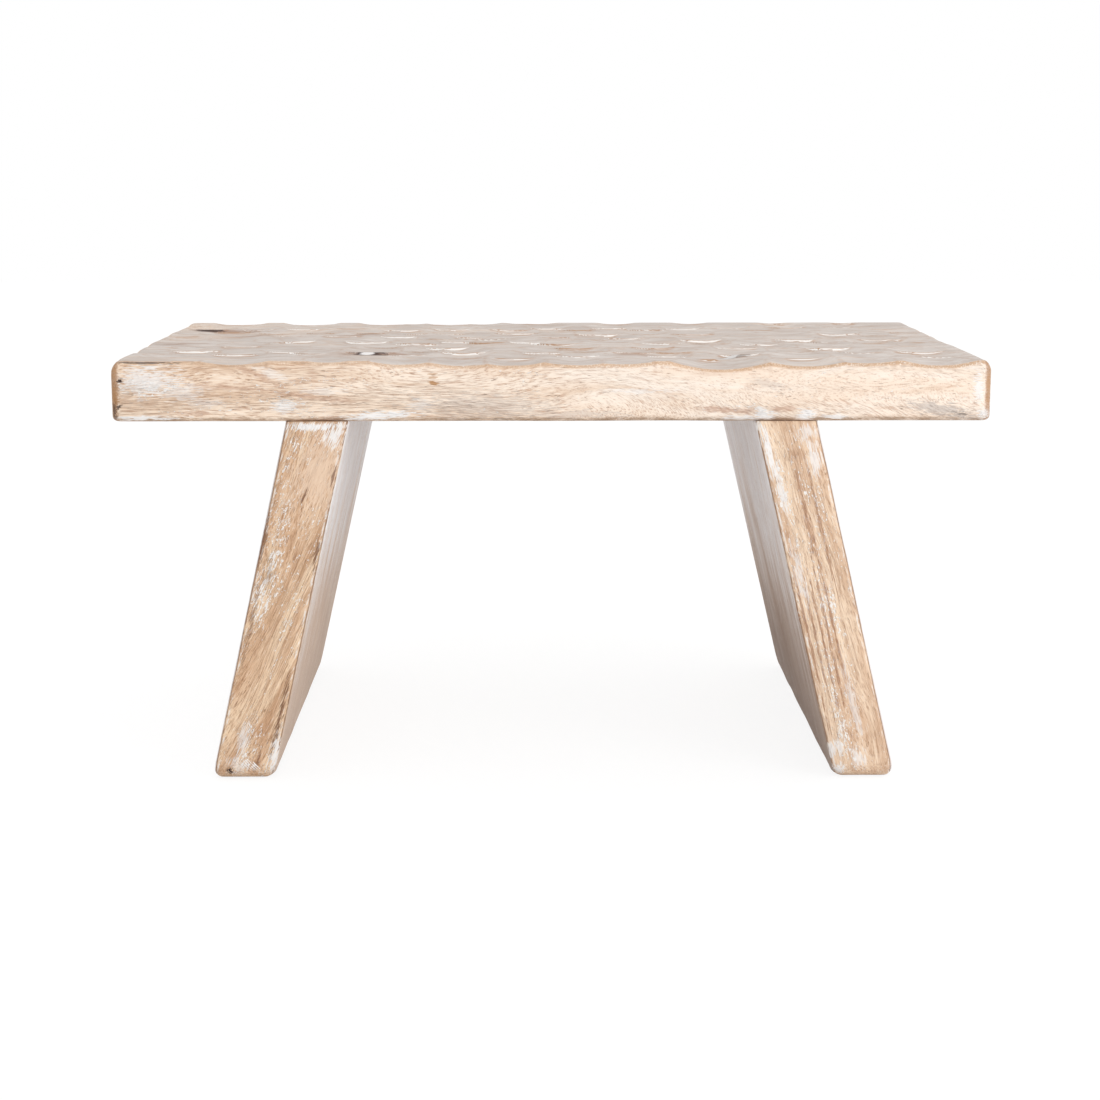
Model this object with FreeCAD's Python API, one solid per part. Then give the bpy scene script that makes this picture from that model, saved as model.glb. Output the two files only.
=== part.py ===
"""Low wooden stool: a slab seat with a gouged top on two splayed slab legs.

Every slab is three boards glued edge to edge, and blind fluted dowels
join each leg to the flat underside of the seat. Millimetres, +X along the
seat, +Y towards the back, +Z up, origin on the floor under the middle.
"""

import FreeCAD, Part
import math
import os

# Seat slab
stool_height = 300.0
seat_length = 610.0
seat_depth = 350.0
seat_thickness = 42.0
seat_corner_radius = 8.0
seat_top_edge_radius = 5.0
seat_bottom_edge_radius = 4.0
seat_joint_shares = (0.35, 0.69)

# Slab legs. A splay share is how far a leg runs outwards for each unit of height.
leg_thickness = 44.0
leg_setback = 119.5
left_leg_splay_share = 0.227
right_leg_splay_share = 0.239
leg_edge_radius = 4.0
foot_corner_radius = 14.0
left_leg_joint_shares = (0.22, 0.61)
right_leg_joint_shares = (0.18, 0.54)

# Blind dowels between the seat and the legs
dowel_diameter = 12.0
dowel_depth_in_leg = 32.0
seat_cover_over_dowel = 12.0
dowel_side_clearance = 0.1
dowel_end_clearance = 1.5
dowel_chamfer = 1.2
dowel_flute_count = 12
dowel_flute_radius = 0.9
dowel_flute_depth = 0.5
dowel_row_shares = (0.10, 0.28, 0.46, 0.65, 0.78, 0.91)

# Gouged scoops: the radius of the hollow and the depth of a common one
scoop_radius = 100.0
scoop_depth = 3.0

# How far a cutting shape runs past the wood that it cuts
overrun = 20.0

# Each scoop: share of the length from the left end, share of the depth from the
# front face, and its own depth as a share of the common one.
scoop_shares = (
    # along the front edge
    (0.14, 0.02, 0.9), (0.245, 0.04, 0.5), (0.33, 0.02, 0.9), (0.395, 0.01, 1.1), (0.455, 0.02, 1.1),
    (0.53, 0.01, 1.0), (0.58, 0.01, 0.8), (0.692, 0.0, 2.05), (0.79, 0.02, 1.4), (0.858, 0.03, 0.7),
    (0.94, 0.01, 1.1),
    # second row
    (0.05, 0.13, 0.5), (0.13, 0.20, 0.7), (0.235, 0.15, 0.5), (0.331, 0.19, 0.6), (0.40, 0.13, 0.5),
    (0.457, 0.135, 0.8), (0.531, 0.165, 0.7), (0.636, 0.16, 0.7), (0.685, 0.12, 0.8), (0.79, 0.135, 0.8),
    (0.875, 0.13, 0.6), (0.952, 0.145, 0.6),
    # third row
    (0.02, 0.23, 0.5), (0.717, 0.20, 0.7), (0.217, 0.235, 0.6), (0.866, 0.24, 0.6), (0.60, 0.245, 0.7),
    (0.645, 0.25, 0.6), (0.49, 0.245, 0.7), (0.397, 0.245, 0.7), (0.938, 0.255, 0.8), (0.287, 0.26, 0.9),
    (0.186, 0.26, 0.6), (0.792, 0.275, 0.6), (0.076, 0.29, 0.8), (0.345, 0.27, 0.5), (0.545, 0.27, 0.5),
    # fourth row
    (0.726, 0.345, 0.7), (0.529, 0.35, 0.6), (0.835, 0.35, 0.8), (0.624, 0.355, 0.7), (0.374, 0.36, 0.7),
    (0.023, 0.375, 0.5), (0.123, 0.385, 0.6), (0.962, 0.385, 0.5), (0.235, 0.36, 0.5), (0.30, 0.365, 0.5),
    (0.45, 0.355, 0.5), (0.675, 0.36, 0.5), (0.78, 0.36, 0.5), (0.90, 0.37, 0.5),
    # middle row
    (0.759, 0.45, 0.7), (0.507, 0.455, 0.7), (0.335, 0.465, 0.7), (0.639, 0.475, 0.7), (0.418, 0.485, 0.6),
    (0.272, 0.497, 0.7), (0.156, 0.49, 0.5), (0.844, 0.49, 0.5), (0.473, 0.49, 0.6), (0.385, 0.505, 0.6),
    (0.182, 0.515, 0.6), (0.04, 0.53, 0.5), (0.10, 0.50, 0.5), (0.575, 0.47, 0.5), (0.70, 0.46, 0.5),
    (0.90, 0.47, 0.5), (0.965, 0.49, 0.5),
    # sixth row
    (0.691, 0.55, 0.7), (0.811, 0.56, 0.8), (0.921, 0.565, 0.8), (0.597, 0.59, 0.6), (0.427, 0.59, 0.6),
    (0.508, 0.615, 0.6), (0.401, 0.625, 0.6), (0.308, 0.635, 0.6), (0.026, 0.64, 0.5), (0.233, 0.65, 0.6),
    (0.166, 0.65, 0.6), (0.10, 0.62, 0.5), (0.36, 0.58, 0.5), (0.55, 0.56, 0.5), (0.645, 0.61, 0.5),
    (0.75, 0.58, 0.5), (0.865, 0.61, 0.5), (0.97, 0.62, 0.5),
    # seventh row
    (0.563, 0.695, 0.7), (0.686, 0.70, 0.7), (0.879, 0.71, 0.7), (0.371, 0.71, 0.5), (0.325, 0.715, 0.5),
    (0.458, 0.73, 0.7), (0.971, 0.745, 0.5), (0.083, 0.76, 0.6), (0.14, 0.72, 0.5), (0.20, 0.74, 0.5),
    (0.265, 0.73, 0.5), (0.51, 0.70, 0.5), (0.625, 0.70, 0.5), (0.745, 0.71, 0.5), (0.815, 0.70, 0.5),
    (0.93, 0.67, 0.5),
    # eighth row
    (0.304, 0.82, 0.6), (0.631, 0.83, 0.6), (0.448, 0.835, 0.6), (0.372, 0.835, 0.6), (0.109, 0.84, 0.6),
    (0.047, 0.84, 0.6), (0.172, 0.85, 0.6), (0.68, 0.86, 0.6), (0.499, 0.865, 0.6), (0.742, 0.875, 0.6),
    (0.582, 0.88, 0.7), (0.824, 0.885, 0.5), (0.894, 0.89, 0.4), (0.235, 0.86, 0.5), (0.54, 0.82, 0.5),
    (0.78, 0.81, 0.5), (0.95, 0.84, 0.5), (0.01, 0.92, 0.4),
    # along the back edge
    (0.075, 0.985, 0.8), (0.173, 0.985, 0.9), (0.275, 0.985, 0.8), (0.312, 0.975, 0.4), (0.365, 0.985, 0.8),
    (0.408, 0.98, 0.5), (0.462, 0.985, 0.3), (0.487, 0.985, 0.35), (0.595, 0.985, 0.4), (0.697, 0.985, 0.35),
    (0.812, 0.985, 0.2), (0.909, 0.985, 0.15),
)

# Worked out from the sizes above
left_x = -seat_length / 2
front_y = -seat_depth / 2
underside_z = stool_height - seat_thickness
dowel_radius = dowel_diameter / 2
dowel_hole_radius = dowel_radius + dowel_side_clearance
dowel_top_z = stool_height - seat_cover_over_dowel - dowel_end_clearance
dowel_bottom_z = underside_z - dowel_depth_in_leg
up = FreeCAD.Vector(0, 0, 1)
forwards = FreeCAD.Vector(0, 1, 0)


def across(share):
    """The X of a place that lies a share of the length from the left end."""
    return left_x + share * seat_length


def behind(share):
    """The Y of a place that lies a share of the depth behind the front face."""
    return front_y + share * seat_depth


def same(first, second):
    """Whether two lengths are the same but for rounding."""
    return abs(first - second) < seat_thickness * 1e-6


def edges_where(shape, wanted):
    """The edges of a shape whose two ends both pass a test."""
    return [edge for edge in shape.Edges if all(wanted(vertex.Point) for vertex in edge.Vertexes)]


def seat_blank():
    """The seat slab before carving, with its corners and edges eased."""
    slab = Part.makeBox(seat_length, seat_depth, seat_thickness,
                        FreeCAD.Vector(left_x, front_y, underside_z))
    upright = [edge for edge in slab.Edges if edge.BoundBox.ZLength > seat_thickness / 2]
    slab = slab.makeFillet(seat_corner_radius, upright)
    top = edges_where(slab, lambda point: same(point.z, stool_height))
    slab = slab.makeFillet(seat_top_edge_radius, top)
    bottom = edges_where(slab, lambda point: same(point.z, underside_z))
    return slab.makeFillet(seat_bottom_edge_radius, bottom)


def scoop(place):
    """The cap of a ball that the gouge takes out of the top at one place."""
    along, inwards, depth_share = place
    depth = scoop_depth * depth_share
    centre = FreeCAD.Vector(across(along), behind(inwards), stool_height + scoop_radius - depth)
    cap_height = depth + scoop_depth
    cap_latitude = -math.degrees(math.asin(1 - cap_height / scoop_radius))
    return Part.makeSphere(scoop_radius, centre, up, -90, cap_latitude)


def carved(slab):
    """The slab with every scoop cut from its top."""
    for place in scoop_shares:
        slab = slab.cut(scoop(place))
    return slab


def leg_blank(side, splay_share):
    """A splayed slab leg, cut level at the floor and bevelled under the seat.

    The side is -1 for the left leg and 1 for the right one.
    """
    level_thickness = leg_thickness * math.hypot(1, splay_share)
    outer_x = seat_length / 2 - leg_setback
    inner_x = outer_x - level_thickness
    top_z = underside_z + overrun
    foot_run = splay_share * underside_z
    top_run = splay_share * overrun
    corners = ((outer_x - top_run, top_z), (outer_x + foot_run, 0),
               (inner_x + foot_run, 0), (inner_x - top_run, top_z))
    points = [FreeCAD.Vector(side * x, front_y, z) for x, z in corners]
    face = Part.Face(Part.makePolygon(points + points[:1]))
    slab = face.extrude(forwards * seat_depth)

    foot_corners = [edge for edge in edges_where(slab, lambda point: same(point.z, 0))
                    if same(edge.BoundBox.YLength, 0)]
    slab = slab.makeFillet(foot_corner_radius, foot_corners)
    broad = [face for face in slab.Faces if is_broad(face)]
    rims = [edge for face in broad for edge in face.Edges if edge.BoundBox.ZMin < underside_z]
    slab = slab.makeFillet(leg_edge_radius, rims)
    return slab.cut(slab_above_underside())


def is_broad(face):
    """Whether a face is a leg's flat inner or outer face."""
    if not isinstance(face.Surface, Part.Plane):
        return False
    normal = face.normalAt(0, 0)
    return abs(normal.x) > abs(normal.y) + abs(normal.z)


def slab_above_underside():
    """The space that the seat takes, which trims the tops of the legs."""
    corner = FreeCAD.Vector(left_x - overrun, front_y - overrun, underside_z)
    return Part.makeBox(seat_length + overrun * 2, seat_depth + overrun * 2,
                        seat_thickness + overrun * 2, corner)


def dowel_places(side, splay_share):
    """The X and Y of the dowels of one leg, on the middle line of its top."""
    level_thickness = leg_thickness * math.hypot(1, splay_share)
    x = side * (seat_length / 2 - leg_setback - level_thickness / 2)
    return [(x, behind(share)) for share in dowel_row_shares]


def dowel_holes(places):
    """The blind holes for the dowels, each a little longer than its dowel."""
    bottom_z = dowel_bottom_z - dowel_end_clearance
    top_z = dowel_top_z + dowel_end_clearance
    return [Part.makeCylinder(dowel_hole_radius, top_z - bottom_z,
                              FreeCAD.Vector(x, y, bottom_z)) for x, y in places]


def fluted_dowel():
    """One dowel standing on the Z axis, fluted and chamfered at both ends."""
    length = dowel_top_z - dowel_bottom_z
    pin = Part.makeCylinder(dowel_radius, length, FreeCAD.Vector(0, 0, dowel_bottom_z))
    rings = [edge for edge in pin.Edges if same(edge.BoundBox.ZLength, 0)]
    pin = pin.makeChamfer(dowel_chamfer, rings)
    flute_x = dowel_radius + dowel_flute_radius - dowel_flute_depth
    flute = Part.makeCylinder(dowel_flute_radius, length + overrun * 2,
                              FreeCAD.Vector(flute_x, 0, dowel_bottom_z - overrun))
    for turn in range(dowel_flute_count):
        one = flute.copy()
        one.rotate(FreeCAD.Vector(0, 0, 0), up, 360 * turn / dowel_flute_count)
        pin = pin.cut(one)
    return pin


def dowels(places):
    """A row of separate dowels, one at each place."""
    pin = fluted_dowel()
    row = []
    for x, y in places:
        one = pin.copy()
        one.translate(FreeCAD.Vector(x, y, 0))
        row.append(one)
    return Part.makeCompound(row)


def boards(slab, joint_shares):
    """The slab sawn into its boards, from the front one to the rear one."""
    shares = (0,) + joint_shares + (1,)
    pieces = []
    for start, end in zip(shares, shares[1:]):
        near_y = behind(start) - (overrun if start == 0 else 0)
        far_y = behind(end) + (overrun if end == 1 else 0)
        corner = FreeCAD.Vector(left_x - overrun, near_y, -overrun)
        space = Part.makeBox(seat_length + overrun * 2, far_y - near_y,
                             stool_height + overrun * 2, corner)
        pieces.append(slab.common(space))
    return pieces


def save(node, shape):
    """Write one node, after checking that it holds sound solids."""
    if not shape.Solids or not shape.isValid():
        raise ValueError(node + " is not a sound solid")
    whole = shape.Solids[0] if len(shape.Solids) == 1 else shape
    whole.exportStep(os.path.join("parts", node + ".step"))
    print(node, len(shape.Solids), "solids", round(shape.Volume), "cubic mm")


def save_boards(slab_name, slab, joint_shares):
    """Saw a slab into boards and write each as a node."""
    for place, board in zip(("front", "middle", "rear"), boards(slab, joint_shares)):
        save(slab_name + "_" + place + "_board", board)


def main():
    os.makedirs("parts", exist_ok=True)
    left_places = dowel_places(-1, left_leg_splay_share)
    right_places = dowel_places(1, right_leg_splay_share)
    left_holes = dowel_holes(left_places)
    right_holes = dowel_holes(right_places)

    seat = carved(seat_blank()).cut(left_holes + right_holes)
    left_leg = leg_blank(-1, left_leg_splay_share).cut(left_holes)
    right_leg = leg_blank(1, right_leg_splay_share).cut(right_holes)

    save_boards("seat", seat, seat_joint_shares)
    save_boards("left_leg", left_leg, left_leg_joint_shares)
    save_boards("right_leg", right_leg, right_leg_joint_shares)
    save("left_leg_dowels", dowels(left_places))
    save("right_leg_dowels", dowels(right_places))


main()
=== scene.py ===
"""The looks of a low limed-wood stool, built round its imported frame.

Metres, +X along the seat, +Y towards the back, +Z up. Each glued board of the
seat and the legs is rebuilt here as a finer mesh with eased edges and a gouged
top, and gets a procedural finish of bare mango wood under worn lime wash.
"""

import math

import bpy
import numpy as np
from mathutils import Matrix, Vector


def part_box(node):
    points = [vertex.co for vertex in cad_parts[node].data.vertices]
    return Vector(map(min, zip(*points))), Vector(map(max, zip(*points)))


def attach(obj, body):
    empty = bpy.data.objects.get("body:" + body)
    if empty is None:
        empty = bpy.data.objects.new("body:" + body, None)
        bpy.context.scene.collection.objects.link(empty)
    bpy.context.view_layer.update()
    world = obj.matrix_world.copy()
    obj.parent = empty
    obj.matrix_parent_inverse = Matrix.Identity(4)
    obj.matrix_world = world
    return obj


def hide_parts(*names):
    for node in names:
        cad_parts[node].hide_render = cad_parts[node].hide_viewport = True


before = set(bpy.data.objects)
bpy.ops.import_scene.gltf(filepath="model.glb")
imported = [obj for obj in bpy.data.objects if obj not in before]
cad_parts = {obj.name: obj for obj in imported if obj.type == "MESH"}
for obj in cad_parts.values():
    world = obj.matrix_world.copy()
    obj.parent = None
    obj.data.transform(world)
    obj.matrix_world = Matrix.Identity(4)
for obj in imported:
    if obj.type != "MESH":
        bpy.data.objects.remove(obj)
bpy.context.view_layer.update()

# The camera, as fitted to the photograph
photo_side_px = 1100
camera_focal_px = 2129
camera_place = Vector((-0.016, -1.641, 0.4376))
camera_yaw = math.radians(-0.57)
camera_pitch = math.radians(10.44)

# Seat slab
seat_nodes = ("seat_front_board", "seat_middle_board", "seat_rear_board")
seat_corner_radius = 0.008
seat_top_edge_radius = 0.005
seat_bottom_edge_radius = 0.004
seat_end_edge_radius = 0.008
seat_mesh_step = 0.001
seat_board_shift = (0.37, 0.113, 0.071)
edge_wear_share = 0.25
edge_wear_size = 0.03
seat_wear_seed = 3
leg_wear_seed = 5
ripple_depth = 0.0003
ripple_size = 0.045
ripple_seed = 8

# Slab legs. A splay share is how far a leg runs outwards for each unit of height.
left_leg_nodes = ("left_leg_front_board", "left_leg_middle_board", "left_leg_rear_board")
right_leg_nodes = ("right_leg_front_board", "right_leg_middle_board", "right_leg_rear_board")
left_leg_splay_share = 0.227
right_leg_splay_share = 0.239
leg_edge_radius = 0.0035
foot_edge_radius = 0.007
foot_corner_radius = 0.014
leg_mesh_step = 0.0024
leg_board_shift = (0.29, 0.137, 0.053)

# Studio. The floor glows for the camera alone, so that it shows as white.
floor_side = 12
floor_glow = 1.08
world_light = 0.88
lamp_side = 1.6
lamp_power = 22
lamp_place = Vector((1.9, -1.9, 1.0))
lamp_target = Vector((0, 0, 0.2))

# Gouged scoops on top of the seat. Each ends in a small step at its near side,
# where the gouge broke the chip out, and runs out gently at its far side.
scoop_radius = 0.1
scoop_depth = 0.003
scoop_far_stretch = 1.35
ridge_softness = 0.00022
carving_reach = 0.016
lip_softness = 0.0002
lip_rise = 0.0019
lip_width = 0.003
lip_front_shares = (0.45, 0.9)
lip_reach = 0.034
crest_width = 0.0024
least_steepness = 0.02
worn_lip_share = 0.8

# Each scoop: thousandths of the length from the left end, thousandths of the depth from
# the front face, its own depth as a share of the common one, and how much white (lime,
# with a painted highlight in it) and how much bare brown wood its near lip shows.
scoops = (
    # along the front edge
    (140, 20, 0.9, 0, 0), (245, 40, 0.5, 0, 0), (330, 20, 0.9, 0, 0), (395, 10, 1.1, 0, 0),
    (455, 20, 1.1, 0, 0), (530, 10, 1, 0, 0), (580, 10, 0.8, 0, 0), (692, 0, 2.05, 0, 0),
    (790, 20, 1.4, 0, 0), (858, 30, 0.7, 0, 0), (940, 10, 1.1, 0, 0),
    # second row
    (50, 130, 0.5, 0.2, 0.2), (130, 200, 0.7, 0.8, 0.7), (235, 150, 0.5, 0, 0.1),
    (331, 190, 0.6, 0.4, 0.1), (400, 130, 0.5, 0, 0), (457, 135, 0.8, 0.7, 0.4),
    (531, 165, 0.7, 0.7, 0.2), (636, 160, 0.7, 0.7, 0.2), (685, 120, 0.8, 0.7, 0.5),
    (790, 135, 0.8, 0.7, 0.4), (875, 130, 0.6, 0, 0), (952, 145, 0.6, 0.5, 0.1),
    # third row
    (20, 230, 0.5, 0, 0), (717, 200, 0.7, 0.9, 0.8), (217, 235, 0.6, 0.5, 0.1),
    (866, 240, 0.6, 0.4, 0.1), (600, 245, 0.7, 0.6, 0.7), (645, 250, 0.6, 0.2, 0.8),
    (490, 245, 0.7, 0.7, 0.4), (397, 245, 0.7, 1, 0.4), (938, 255, 0.8, 0.7, 1),
    (287, 260, 0.9, 0.8, 1), (186, 260, 0.6, 0.6, 0.2), (792, 275, 0.6, 0.3, 0),
    (76, 290, 0.8, 1, 0.9), (345, 270, 0.5, 0, 0.2), (545, 270, 0.5, 0, 0.1),
    # fourth row
    (726, 345, 0.7, 0.7, 0.4), (529, 350, 0.6, 0.3, 1), (835, 350, 0.8, 1, 0.9),
    (624, 355, 0.7, 0.5, 0.9), (374, 360, 0.7, 1, 0.3), (23, 375, 0.5, 0.5, 0.5),
    (123, 385, 0.6, 0.5, 0.5), (962, 385, 0.5, 0.4, 0.2), (235, 360, 0.5, 0.1, 0.2),
    (300, 365, 0.5, 0, 0.2), (450, 355, 0.5, 0.1, 0.2), (675, 360, 0.5, 0, 0.1),
    (780, 360, 0.5, 0, 0), (900, 370, 0.5, 0.1, 0.2),
    # middle row
    (759, 450, 0.7, 0.8, 0.2), (507, 455, 0.7, 0.8, 0.4), (335, 465, 0.7, 1, 0.4),
    (639, 475, 0.7, 0.8, 0.2), (418, 485, 0.6, 0.2, 0.7), (272, 497, 0.7, 1, 0.3),
    (156, 490, 0.5, 0.3, 0.1), (844, 490, 0.5, 0.4, 0.1), (473, 490, 0.6, 0.8, 0.2),
    (385, 505, 0.6, 0.8, 0.3), (182, 515, 0.6, 0.8, 0.4), (40, 530, 0.5, 0.3, 0.2),
    (100, 500, 0.5, 0.1, 0.2), (575, 470, 0.5, 0, 0.2), (700, 460, 0.5, 0, 0.1),
    (900, 470, 0.5, 0.2, 0.2), (965, 490, 0.5, 0.2, 0.2),
    # sixth row
    (691, 550, 0.7, 1, 0.6), (811, 560, 0.8, 1, 0.9), (921, 565, 0.8, 0.7, 1),
    (597, 590, 0.6, 0.8, 0.6), (427, 590, 0.6, 0.5, 0.1), (508, 615, 0.6, 0.4, 0.5),
    (401, 625, 0.6, 0.7, 0.6), (308, 635, 0.6, 0.8, 0.2), (26, 640, 0.5, 0.3, 0.8),
    (233, 650, 0.6, 0.5, 0.7), (166, 650, 0.6, 0.4, 0.2), (100, 620, 0.5, 0.1, 0.3),
    (360, 580, 0.5, 0, 0.1), (550, 560, 0.5, 0, 0.1), (645, 610, 0.5, 0, 0.2),
    (750, 580, 0.5, 0, 0.1), (865, 610, 0.5, 0, 0.2), (970, 620, 0.5, 0.2, 0.3),
    # seventh row
    (563, 695, 0.7, 1, 0.8), (686, 700, 0.7, 0.4, 1), (879, 710, 0.7, 0.8, 0.7),
    (371, 710, 0.5, 0.4, 0.3), (325, 715, 0.5, 0.4, 0.3), (458, 730, 0.7, 0.7, 1),
    (971, 745, 0.5, 0.4, 0.5), (83, 760, 0.6, 0.1, 0.9), (140, 720, 0.5, 0.1, 0.4),
    (200, 740, 0.5, 0.1, 0.4), (265, 730, 0.5, 0.1, 0.4), (510, 700, 0.5, 0.1, 0.2),
    (625, 700, 0.5, 0, 0.2), (745, 710, 0.5, 0.1, 0.2), (815, 700, 0.5, 0.1, 0.2),
    (930, 670, 0.5, 0.1, 0.2),
    # eighth row
    (304, 820, 0.6, 0.7, 0.3), (631, 830, 0.6, 0.7, 0.4), (448, 835, 0.6, 0.7, 0.7),
    (372, 835, 0.6, 0.7, 0.5), (109, 840, 0.6, 0.8, 0.6), (47, 840, 0.6, 0.6, 1),
    (172, 850, 0.6, 0.7, 0.4), (680, 860, 0.6, 0.7, 0.3), (499, 865, 0.6, 0.7, 0.5),
    (742, 875, 0.6, 0.4, 0.3), (582, 880, 0.7, 0.7, 0.5), (824, 885, 0.5, 0.5, 0.8),
    (894, 890, 0.4, 0.4, 0.2), (235, 860, 0.5, 0.1, 0.4), (540, 820, 0.5, 0.1, 0.3),
    (780, 810, 0.5, 0.2, 0.3), (950, 840, 0.5, 0.3, 0.3), (10, 920, 0.4, 0.1, 0.5),
    # along the back edge
    (75, 985, 0.8, 0.2, 0.5), (173, 985, 0.9, 0.2, 0.4), (275, 985, 0.8, 0.2, 0.4),
    (312, 975, 0.4, 0.1, 0.2), (365, 985, 0.8, 0.2, 0.4), (408, 980, 0.5, 0.1, 0.3),
    (462, 985, 0.3, 0.1, 0.2), (487, 985, 0.35, 0.2, 0.4), (595, 985, 0.4, 0.2, 0.4),
    (697, 985, 0.35, 0.3, 0.4), (812, 985, 0.2, 0.6, 0.6), (909, 985, 0.15, 0.5, 0.9),
)

# Lime washes: the darker shade, the lighter shade and the stain of their streaks
seat_washes = ((205, 194, 186), (224, 215, 208), (190, 166, 151))
leg_outside_washes = ((232, 225, 223), (247, 243, 243), (206, 192, 184))
# The same wash painted lighter for the inner faces, in shade under the seat: painted light
leg_inside_washes_with_painted_light = ((242, 238, 239), (255, 254, 255), (220, 210, 205))

# Patterns in the wood: how long, deep and high the lumps of each are
slow_bend_size = (0.19, 0.12, 0.05)
quick_bend_size = (0.06, 0.05, 0.018)
slow_bend = 0.06
quick_bend = 0.007
broad_size = (0.12, 0.012, 0.012)
streak_size = (0.05, 0.0032, 0.0032)
long_streak_size = (0.2, 0.005, 0.005)
line_size = (0.09, 0.0012, 0.0012)
fibre_size = (0.013, 0.0006, 0.0006)
slanted_fibre_size = (0.008, 0.0006, 0.0006)
pore_size = (0.007, 0.0006, 0.0006)
crowd_size = (0.07, 0.02, 0.012)
fleck_size = (0.003, 0.0013, 0.0013)
tear_size = (0.012, 0.004, 0.004)
torn_size = (0.007, 0.0007, 0.0007)
beech_fleck_size = (0.0006, 0.0006, 0.003)
beech_tint_size = (0.003, 0.003, 0.05)

# Growth rings on the sawn ends
ring_spread = 0.3
heart_drop = -0.2
ring_wander_size = (0.05, 0.03, 0.03)
ring_wander = 0.006
ring_size = (0.0022, 1, 1)
end_pore_size = (0.001, 0.0005, 0.0005)

# The lime wash, and how wide its streaks are
mottle_size = (0.05, 0.02, 0.02)
wash_streak_length = 0.06
wash_streak_height = 0.0017
seat_streak_width = 0.0045
leg_streak_width = 0.0018
wash_line_size = (0.02, 0.0006, 0.0006)
seat_thin_size = (0.09, 0.06, 0.06)
leg_thin_size = (0.12, 0.03, 0.03)

# Where each part of a finish starts and where it has its full strength, and its sizes
seat_pale = (-0.28, 0.2)
seat_low_down = (0.288, 0.268)
seat_slanting = (-0.02, 0.05)
seat_rough = (-0.12, -0.3)
seat_left_back = (-0.1, -0.35)
seat_wash_edge = (0.0025, 0.0045)
seat_round_over = (-0.0042, -0.001)
seat_upright_edge = (0.006, 0.003)
speck_size = (0.0012, 0.0012, 0.0012)
leg_low_down = (0.26, 0)
leg_wash_edge = (-0.0005, 0.001)
pale_line_edges = ((-0.0036, -0.0026), (-0.0012, -0.002))
dark_line_edges = ((-0.0016, -0.0006), (0.0014, 0.0004))
lip_tear = 0.0007
lip_streak_size = (0.03, 0.004, 0.004)
lip_stain_start = (-0.014, -0.003)
lip_stain_end = (0.0042, 0.003)
lip_ridge_start = (-0.0006, -0.0002)
lip_ridge_end = (0.0003, 0)
worn_ridge_width = 0.0007
# The white under each near lip: lime, with a painted highlight in it
lip_lime_and_highlight_start = (0.0001, 0.0004)
lip_lime_and_highlight_end = (0.0007, 0.0001)
worn_lime_and_highlight_shift = 0.0003
lip_lime_and_highlight_width = 0.0017
bump_depth = 0.0004
beech_bump_depth = 0.0002

# The wood of each leg: how far its grain leans, how rough it is and its colour at the foot
left_leg_wood = (0.2, 1.0, (200, 176, 156))
# The right leg's dark foot colour is partly bare wood under thin wash and partly painted shade on
# its inner face
right_leg_wood = (0.03, 0.6, (92, 60, 40))

# Marks painted on the front faces. Each oval: across, up, half length and half
# height in millimetres, slant in degrees, and strength. A paint is as it looks on a screen.
lime_white = (248, 245, 243)
dark_knot = (66, 50, 46)
seat_front_marks = (
    # warm streaks and stains
    (((123, 265.5, 22, 2.2, -4, 0.6), (159, 266.5, 13, 2, 0, 0.5),
      (-250, 264, 20, 1.5, 2, 0.4), (-225, 282, 30, 1.5, -4, 0.4),
      (-165, 275, 30, 2, -8, 0.5), (-205, 291, 20, 2, -25, 0.4)),
     (186, 140, 114)),
    # grey patches
    (((270, 266, 24, 4.5, -10, 0.6), (-50, 268, 50, 9, 0, 0.35),
      (13, 263, 34, 3, 0, 0.35), (150, 284, 14, 3, -12, 0.3)),
     (190, 181, 176)),
    # lime
    (((-278, 286, 21, 10, 0, 0.75), (-255, 278, 14, 6, 0, 0.5),
      (-238, 271, 12, 3, 0, 0.4), (-185, 269, 8, 4.5, 0, 0.7),
      (-193, 291, 12, 3, -20, 0.45), (-158, 279, 16, 2.5, 0, 0.4),
      (-283, 260.5, 22, 1.8, 0, 0.95), (-121, 262, 24, 2.8, 4, 0.95),
      (-91, 270, 8, 5, 0, 0.35), (295.5, 282, 3.5, 9.5, 0, 0.8),
      (300, 263, 4.5, 3.5, 0, 0.85), (147, 261.5, 7, 5.5, 0, 0.9),
      (177, 262.5, 7, 5, 0, 0.9), (195, 261, 10, 1.8, 0, 0.8),
      (131, 260.5, 11, 1.8, 0, 0.7), (60, 279, 22, 1.6, 0, 0.5)),
     lime_white),
    # brown of the upright corners, bare wood with painted shade where they round off, and a pencil
    # tick
    (((-302.5, 280, 3.5, 20, 0, 0.75), (303.5, 283, 3, 17, 0, 0.55),
      (-82.5, 291, 3, 0.9, 0, 0.6), (-82.5, 288.7, 3, 0.9, 0, 0.6),
      (-82.2, 284.6, 3.4, 1.3, -10, 0.9)),
     (186, 136, 88)),
    # dark knots
    (((-297.5, 286.5, 2, 1.4, 0, 1), (-299.5, 268, 2.2, 1.6, 0, 0.9),
      (-302.5, 265, 1.8, 6, 0, 0.7), (-278, 299, 22, 1, 0, 0.8),
      (284, 263.5, 5, 1.2, -8, 0.5)),
     dark_knot),
)
left_foot_scratches = tuple((-223.5 + 2.2 * n, 12.5 - 0.2 * n, 5.5, 0.45, -48, 1) for n in range(7))
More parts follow.
